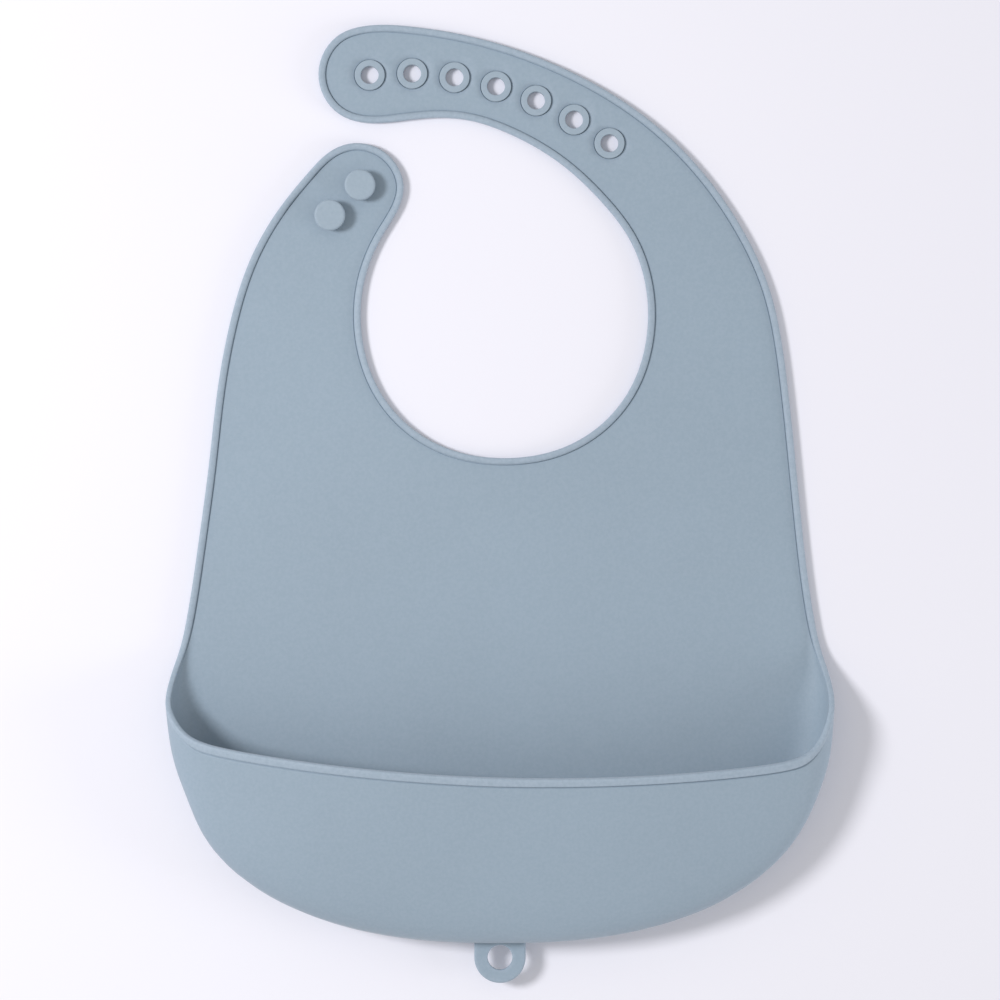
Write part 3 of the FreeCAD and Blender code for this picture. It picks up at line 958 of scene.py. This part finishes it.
collars = collar_rule(HIGHLIGHTED_SILICONE)
for name, numbers, bodies, bend in (
    ("root", (6, 7), ROOT_BODIES, ROOT_BEND),
    ("middle", (3, 4, 5), MIDDLE_BODIES, MIDDLE_BEND),
    ("tip", (1, 2), TIP_BODIES, TIP_BEND),
):
    places = [Vector((*strap_places[n - 1].xy, 0)) * MM for n in numbers]
    made = collars.run("eyelet_collars_" + name, places)
    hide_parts(*[f"eyelet_{n}" for n in numbers])
    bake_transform(made)

stud_line = math.radians(STUD_LINE_ANGLE)
second = (
    STUD_PLACE[0] + EYELET_PITCH * math.cos(stud_line),
    STUD_PLACE[1] + EYELET_PITCH * math.sin(stud_line),
)
studs = stud_rule(HIGHLIGHTED_SILICONE).run("studs", [Vector((*p, PANEL)) * MM for p in (STUD_PLACE, second)])
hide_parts("stud_upper", "stud_lower")
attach(studs, "stud_strap")


def tab_grid():
    """Sections round the hang tab: straight from its root, then round its end."""
    r = TAB_WIDTH / 2
    low, high = TAB_Z - TAB_THICK / 2, TAB_Z + TAB_THICK / 2
    side = [(r, y) for y in np.linspace(TAB_ROOT_Y, TAB_CENTRE_Y, 8)]
    end = arc((0, TAB_CENTRE_Y), r, 0, -180, 40)[1:-1]
    other = [(-x, y) for x, y in side[::-1]]
    closing = [(x, TAB_ROOT_Y) for x in np.linspace(-r, r, 12)[1:-1]]
    line = np.array(side + end + other + closing)
    ahead = np.roll(line, -1, axis=0) - np.roll(line, 1, axis=0)
    ahead /= np.linalg.norm(ahead, axis=1)[:, None]
    turn = np.radians(np.linspace(0, 180, TAB_ROWS))
    inset = TAB_ROUND * (1 - np.sin(turn)) ** 0.8
    level = np.where(turn < math.pi / 2, low, high)
    level = level + TAB_ROUND * np.where(turn < math.pi / 2, 1 - np.cos(turn), -1 - np.cos(turn))
    into = np.stack([ahead[:, 1], -ahead[:, 0]], axis=1)
    rows = []
    for p, i in zip(line, into):
        rows.append([(*(p + i * d), z) for d, z in zip(inset, level)])
    return np.array(rows)


def round_hole(radius, low, high, edge):
    """A hole's section with eased edges, from the top to the bottom."""
    turn = np.radians(np.linspace(0, 90, 5))
    upper = [(radius + edge * (1 - math.sin(t)), high - edge * (1 - math.cos(t))) for t in turn]
    return upper + [(r, low + high - z) for r, z in upper[::-1]]


tab_skin = closed_skin(
    tab_grid(),
    [
        (
            (0, TAB_CENTRE_Y),
            round_hole(
                TAB_HOLE / 2, TAB_Z - TAB_THICK / 2, TAB_Z + TAB_THICK / 2, TAB_HOLE_ROUND
            ),
        )
    ],
    TAB_FILL,
    np.full(TAB_ROWS, TAB_EDGE_SHEEN),
)
tab = finished("hang_tab_loop", tab_skin, SHEET)
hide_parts("hang_tab")
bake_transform(tab)

# ------------------------------------------------------------------- table and light

floor_mesh = bpy.data.meshes.new("table_top")
floor_corners = [(-1, -1), (1, -1), (1, 1), (-1, 1)]
floor_mesh.from_pydata(
    [(x * TABLE_REACH, y * TABLE_REACH, -TABLE_DROP) for x, y in floor_corners], [], [(0, 1, 2, 3)]
)
floor_mesh.materials.append(table_top())
floor = bpy.data.objects.new("table_top", floor_mesh)
bpy.context.scene.collection.objects.link(floor)

world = bpy.data.worlds.new("studio")
world.use_nodes = True
world.node_tree.nodes["Background"].inputs["Color"].default_value = STUDIO_TINT
world.node_tree.nodes["Background"].inputs["Strength"].default_value = STUDIO_STRENGTH
bpy.context.scene.world = world


def softbox(name, azimuth, elevation, distance, size, power, colour=(1, 1, 1)):
    """A round light that faces the bib."""
    a, e = math.radians(azimuth), math.radians(elevation)
    lamp = bpy.data.lights.new(name, "AREA")
    lamp.shape, lamp.size, lamp.energy, lamp.color = "DISK", size, power, colour
    made = bpy.data.objects.new(name, lamp)
    back = Vector((math.cos(a) * math.cos(e), math.sin(a) * math.cos(e), math.sin(e)))
    made.location = back * distance
    made.rotation_mode = "QUATERNION"
    made.rotation_quaternion = back.to_track_quat("Z", "Y")
    bpy.context.scene.collection.objects.link(made)
    return made


softbox("key_softbox", 171, 50, 1.2, 0.3, 8.8, (1.0, 0.985, 1.0))
softbox("low_fill_softbox", 346, 15, 1.5, 0.7, 6.0, (0.98, 0.98, 1.0))

camera_data = bpy.data.cameras.new("camera")
camera_data.sensor_width = SENSOR
camera_data.lens = SENSOR / 2 / (HALF_VIEW / CAMERA_HEIGHT)
camera = bpy.data.objects.new("camera", camera_data)
camera.location = (0, CAMERA_Y, CAMERA_HEIGHT)
bpy.context.scene.collection.objects.link(camera)
bpy.context.scene.camera = camera
bpy.context.scene.view_settings.view_transform = "Standard"
